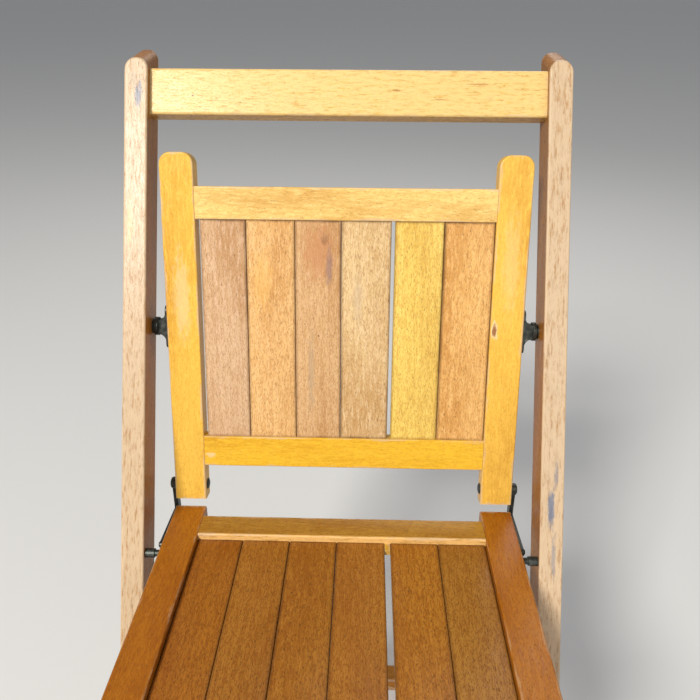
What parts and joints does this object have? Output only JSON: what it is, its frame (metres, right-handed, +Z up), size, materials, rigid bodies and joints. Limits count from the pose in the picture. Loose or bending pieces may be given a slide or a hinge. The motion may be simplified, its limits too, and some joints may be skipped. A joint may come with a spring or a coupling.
{
  "type": "folding chair",
  "caption": "Hardwood slat folding chair: long leaning posts, a tilting slat back, a flip-up slat seat and hinged rear legs drawn in by slotted steel stays.",
  "frame": {"origin": "On the floor, midway between the chair's sides and midway between its front and rear extremes, standing open.", "axes": "+Z up, -Y towards the sitter's knees, +X to the right seen from the front."},
  "size_m": [0.402, 0.5306, 0.8129],
  "materials": {
    "frame_wood": "satin worn varnish",
    "panel_wood": "satin varnish",
    "seat_wood": "satin varnish",
    "leg_wood": "satin worn varnish",
    "dark_steel": "worn semi-gloss",
    "pin_steel": "dull, lightly tarnished"
  },
  "bodies": {
    "frame": {"left_post": "frame_wood", "right_post": "frame_wood", "crest_rail": "frame_wood", "crest_rail_dowels": "frame_wood", "front_stretcher": "frame_wood", "front_stretcher_screws": "pin_steel", "back_pivot_pins": "pin_steel", "back_pivot_washers": "pin_steel", "back_pivot_sleeves": "pin_steel", "seat_pivot_pins": "pin_steel", "seat_pivot_sleeves": "pin_steel", "leg_pivot_pins": "pin_steel", "leg_pivot_washers": "pin_steel"},
    "back_panel": {"left_stile": "panel_wood", "right_stile": "panel_wood", "panel_top_rail": "panel_wood", "panel_bottom_rail": "panel_wood", "back_slat_1": "panel_wood", "back_slat_2": "panel_wood", "back_slat_3": "panel_wood", "back_slat_4": "panel_wood", "back_slat_5": "panel_wood", "back_slat_6": "panel_wood", "left_pivot_plate": "dark_steel", "right_pivot_plate": "dark_steel", "pivot_plate_screws": "pin_steel", "strap_rivets": "pin_steel"},
    "seat": {"left_seat_rail": "seat_wood", "right_seat_rail": "seat_wood", "seat_rear_rail": "seat_wood", "seat_front_rail": "seat_wood", "seat_gap_wedge": "seat_wood", "seat_slat_1": "seat_wood", "seat_slat_2": "seat_wood", "seat_slat_3": "seat_wood", "seat_slat_4": "seat_wood", "seat_slat_5": "seat_wood", "seat_slat_6": "seat_wood", "stay_brackets": "dark_steel", "stay_bracket_screws": "pin_steel"},
    "straps": {"back_straps": "dark_steel", "strap_lower_pins": "pin_steel"},
    "rear_legs": {"left_rear_leg": "leg_wood", "right_rear_leg": "leg_wood", "upper_rear_stretcher": "leg_wood", "lower_rear_stretcher": "leg_wood", "stay_leg_rivets": "pin_steel"},
    "stays": {"leg_stays": "pin_steel", "stay_top_pins": "pin_steel"}
  },
  "joints": [
    {"name": "seat_fold", "type": "hinge", "parent": "frame", "child": "seat", "pos_m": [0, 0.02582, 0.40934], "axis": [-1, 0, 0], "range_deg": [0, 114.46]},
    {"name": "panel_tilt", "type": "hinge", "parent": "frame", "child": "back_panel", "pos_m": [0, 0.13852, 0.58608], "axis": [-1, 0, 0], "range_deg": [0, 12.42]},
    {"name": "strap_swing", "type": "hinge", "parent": "back_panel", "child": "straps", "pos_m": [0, 0.09734, 0.43292], "axis": [1, 0, 0], "range_deg": [0, 36.31]},
    {"name": "leg_fold", "type": "hinge", "parent": "frame", "child": "rear_legs", "pos_m": [0, -0.00111, 0.32281], "axis": [-1, 0, 0], "range_deg": [0, 58.01]},
    {"name": "stay_swing", "type": "hinge", "parent": "rear_legs", "child": "stays", "pos_m": [0, 0.08616, 0.17488], "axis": [1, 0, 0], "range_deg": [0, 37.06]}
  ],
  "couplings": [
    {"joint": "panel_tilt", "follows": "seat_fold", "ratio": 0.10842},
    {"joint": "strap_swing", "follows": "seat_fold", "ratio": 0.31711},
    {"joint": "leg_fold", "follows": "seat_fold", "ratio": 0.50673},
    {"joint": "stay_swing", "follows": "seat_fold", "ratio": 0.3237}
  ]
}
